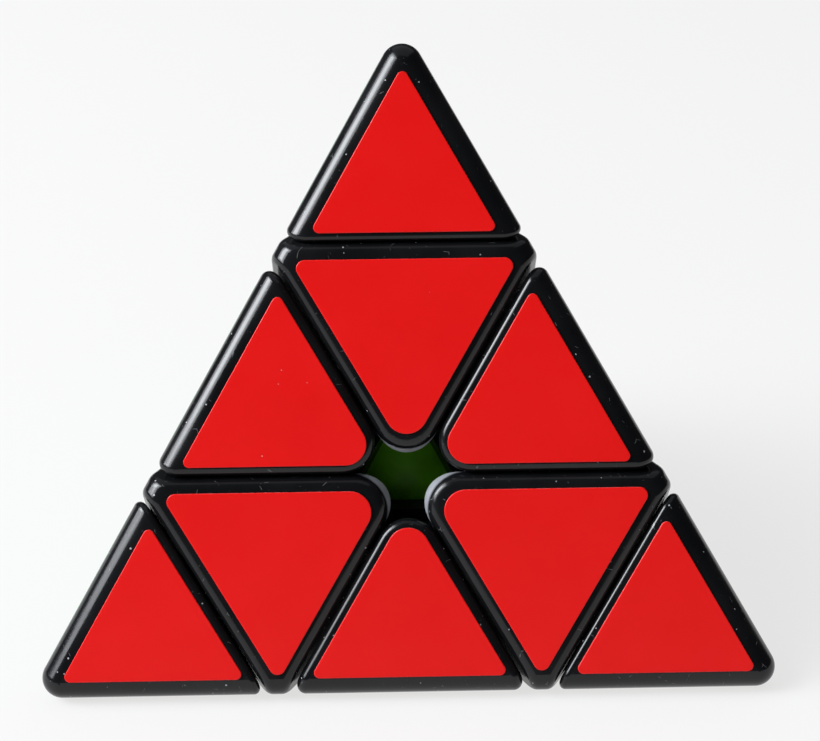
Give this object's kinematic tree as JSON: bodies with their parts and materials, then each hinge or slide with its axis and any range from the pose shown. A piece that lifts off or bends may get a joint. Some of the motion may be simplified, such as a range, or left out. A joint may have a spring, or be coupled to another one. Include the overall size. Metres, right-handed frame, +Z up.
{
  "type": "pyramid twisty puzzle",
  "caption": "Tetrahedral twisty puzzle: stickered tips, axial pieces and edge pieces turning in layers about a sprung, screwed core.",
  "frame": {"origin": "centre of the core, where the four turning axes meet; it is the centroid of the pyramid", "axes": "+Z up through the top tip; -Y towards the red face, which leans back 19.5 degrees; +X to the right seen from that face"},
  "size_m": [0.098, 0.0857, 0.0813],
  "materials": {
    "black": "glossy moulded, fine scratches",
    "core_green": "moulded, satin",
    "steel": "zinc plated",
    "sticker_red": "vinyl film, semi gloss",
    "sticker_green": "vinyl film, semi gloss",
    "sticker_blue": "vinyl film, semi gloss",
    "sticker_yellow": "vinyl film, semi gloss"
  },
  "bodies": {
    "core": {"core": "core_green", "core_screws": "steel", "washers": "steel", "springs": "steel"},
    "axial_top": {"axial_top": "black", "tip_ring_top": "steel", "sticker_blue_axial_top": "sticker_blue", "sticker_green_axial_top": "sticker_green", "sticker_red_axial_top": "sticker_red"},
    "tip_top": {"tip_top": "black", "sticker_blue_tip_top": "sticker_blue", "sticker_green_tip_top": "sticker_green", "sticker_red_tip_top": "sticker_red"},
    "axial_left": {"axial_left": "black", "tip_ring_left": "steel", "sticker_green_axial_left": "sticker_green", "sticker_red_axial_left": "sticker_red", "sticker_yellow_axial_left": "sticker_yellow"},
    "tip_left": {"tip_left": "black", "sticker_green_tip_left": "sticker_green", "sticker_red_tip_left": "sticker_red", "sticker_yellow_tip_left": "sticker_yellow"},
    "axial_right": {"axial_right": "black", "tip_ring_right": "steel", "sticker_blue_axial_right": "sticker_blue", "sticker_red_axial_right": "sticker_red", "sticker_yellow_axial_right": "sticker_yellow"},
    "tip_right": {"tip_right": "black", "sticker_blue_tip_right": "sticker_blue", "sticker_red_tip_right": "sticker_red", "sticker_yellow_tip_right": "sticker_yellow"},
    "axial_back": {"axial_back": "black", "tip_ring_back": "steel", "sticker_blue_axial_back": "sticker_blue", "sticker_green_axial_back": "sticker_green", "sticker_yellow_axial_back": "sticker_yellow"},
    "tip_back": {"tip_back": "black", "sticker_blue_tip_back": "sticker_blue", "sticker_green_tip_back": "sticker_green", "sticker_yellow_tip_back": "sticker_yellow"},
    "edge_top_left": {"edge_top_left": "black", "sticker_green_edge_top_left": "sticker_green", "sticker_red_edge_top_left": "sticker_red"},
    "edge_top_right": {"edge_top_right": "black", "sticker_blue_edge_top_right": "sticker_blue", "sticker_red_edge_top_right": "sticker_red"},
    "edge_top_back": {"edge_top_back": "black", "sticker_blue_edge_top_back": "sticker_blue", "sticker_green_edge_top_back": "sticker_green"},
    "edge_front": {"edge_front": "black", "sticker_red_edge_front": "sticker_red", "sticker_yellow_edge_front": "sticker_yellow"},
    "edge_back_left": {"edge_back_left": "black", "sticker_green_edge_back_left": "sticker_green", "sticker_yellow_edge_back_left": "sticker_yellow"},
    "edge_back_right": {"edge_back_right": "black", "sticker_blue_edge_back_right": "sticker_blue", "sticker_yellow_edge_back_right": "sticker_yellow"}
  },
  "joints": [
    {"name": "turn_top", "type": "hinge", "parent": "core", "child": "axial_top", "pos_m": [0, 0, 0], "axis": [0, 0, 1], "range_deg": [-120, 240]},
    {"name": "turn_left", "type": "hinge", "parent": "core", "child": "axial_left", "pos_m": [0, 0, 0], "axis": [-0.8165, -0.4714, -0.3333], "range_deg": [-120, 240]},
    {"name": "turn_right", "type": "hinge", "parent": "core", "child": "axial_right", "pos_m": [0, 0, 0], "axis": [0.8165, -0.4714, -0.3333], "range_deg": [-120, 240]},
    {"name": "turn_back", "type": "hinge", "parent": "core", "child": "axial_back", "pos_m": [0, 0, 0], "axis": [0, 0.9428, -0.3333], "range_deg": [-120, 240]},
    {"name": "edge_top_left_turn", "type": "hinge", "parent": "axial_top", "child": "edge_top_left", "pos_m": [0, 0, 0], "axis": [-0.8165, -0.4714, -0.3333], "range_deg": [-120, 240]},
    {"name": "edge_top_right_turn", "type": "hinge", "parent": "axial_top", "child": "edge_top_right", "pos_m": [0, 0, 0], "axis": [0.8165, -0.4714, -0.3333], "range_deg": [-120, 240]},
    {"name": "edge_top_back_turn", "type": "hinge", "parent": "axial_top", "child": "edge_top_back", "pos_m": [0, 0, 0], "axis": [0, 0.9428, -0.3333], "range_deg": [-120, 240]},
    {"name": "edge_front_turn", "type": "hinge", "parent": "axial_right", "child": "edge_front", "pos_m": [0, 0, 0], "axis": [-0.8165, -0.4714, -0.3333], "range_deg": [-120, 240]},
    {"name": "edge_back_left_turn", "type": "hinge", "parent": "axial_left", "child": "edge_back_left", "pos_m": [0, 0, 0], "axis": [0, 0.9428, -0.3333], "range_deg": [-120, 240]},
    {"name": "edge_back_right_turn", "type": "hinge", "parent": "axial_back", "child": "edge_back_right", "pos_m": [0, 0, 0], "axis": [0.8165, -0.4714, -0.3333], "range_deg": [-120, 240]},
    {"name": "spin_tip_top", "type": "hinge", "parent": "axial_top", "child": "tip_top", "pos_m": [0, 0, 0], "axis": [0, 0, 1], "continuous": true},
    {"name": "spin_tip_left", "type": "hinge", "parent": "axial_left", "child": "tip_left", "pos_m": [0, 0, 0], "axis": [-0.8165, -0.4714, -0.3333], "continuous": true},
    {"name": "spin_tip_right", "type": "hinge", "parent": "axial_right", "child": "tip_right", "pos_m": [0, 0, 0], "axis": [0.8165, -0.4714, -0.3333], "continuous": true},
    {"name": "spin_tip_back", "type": "hinge", "parent": "axial_back", "child": "tip_back", "pos_m": [0, 0, 0], "axis": [0, 0.9428, -0.3333], "continuous": true}
  ],
  "couplings": [
    {"joint": "edge_top_left_turn", "follows": "turn_left", "ratio": 1},
    {"joint": "edge_top_right_turn", "follows": "turn_right", "ratio": 1},
    {"joint": "edge_top_back_turn", "follows": "turn_back", "ratio": 1},
    {"joint": "edge_front_turn", "follows": "turn_left", "ratio": 1},
    {"joint": "edge_back_left_turn", "follows": "turn_back", "ratio": 1},
    {"joint": "edge_back_right_turn", "follows": "turn_right", "ratio": 1}
  ]
}
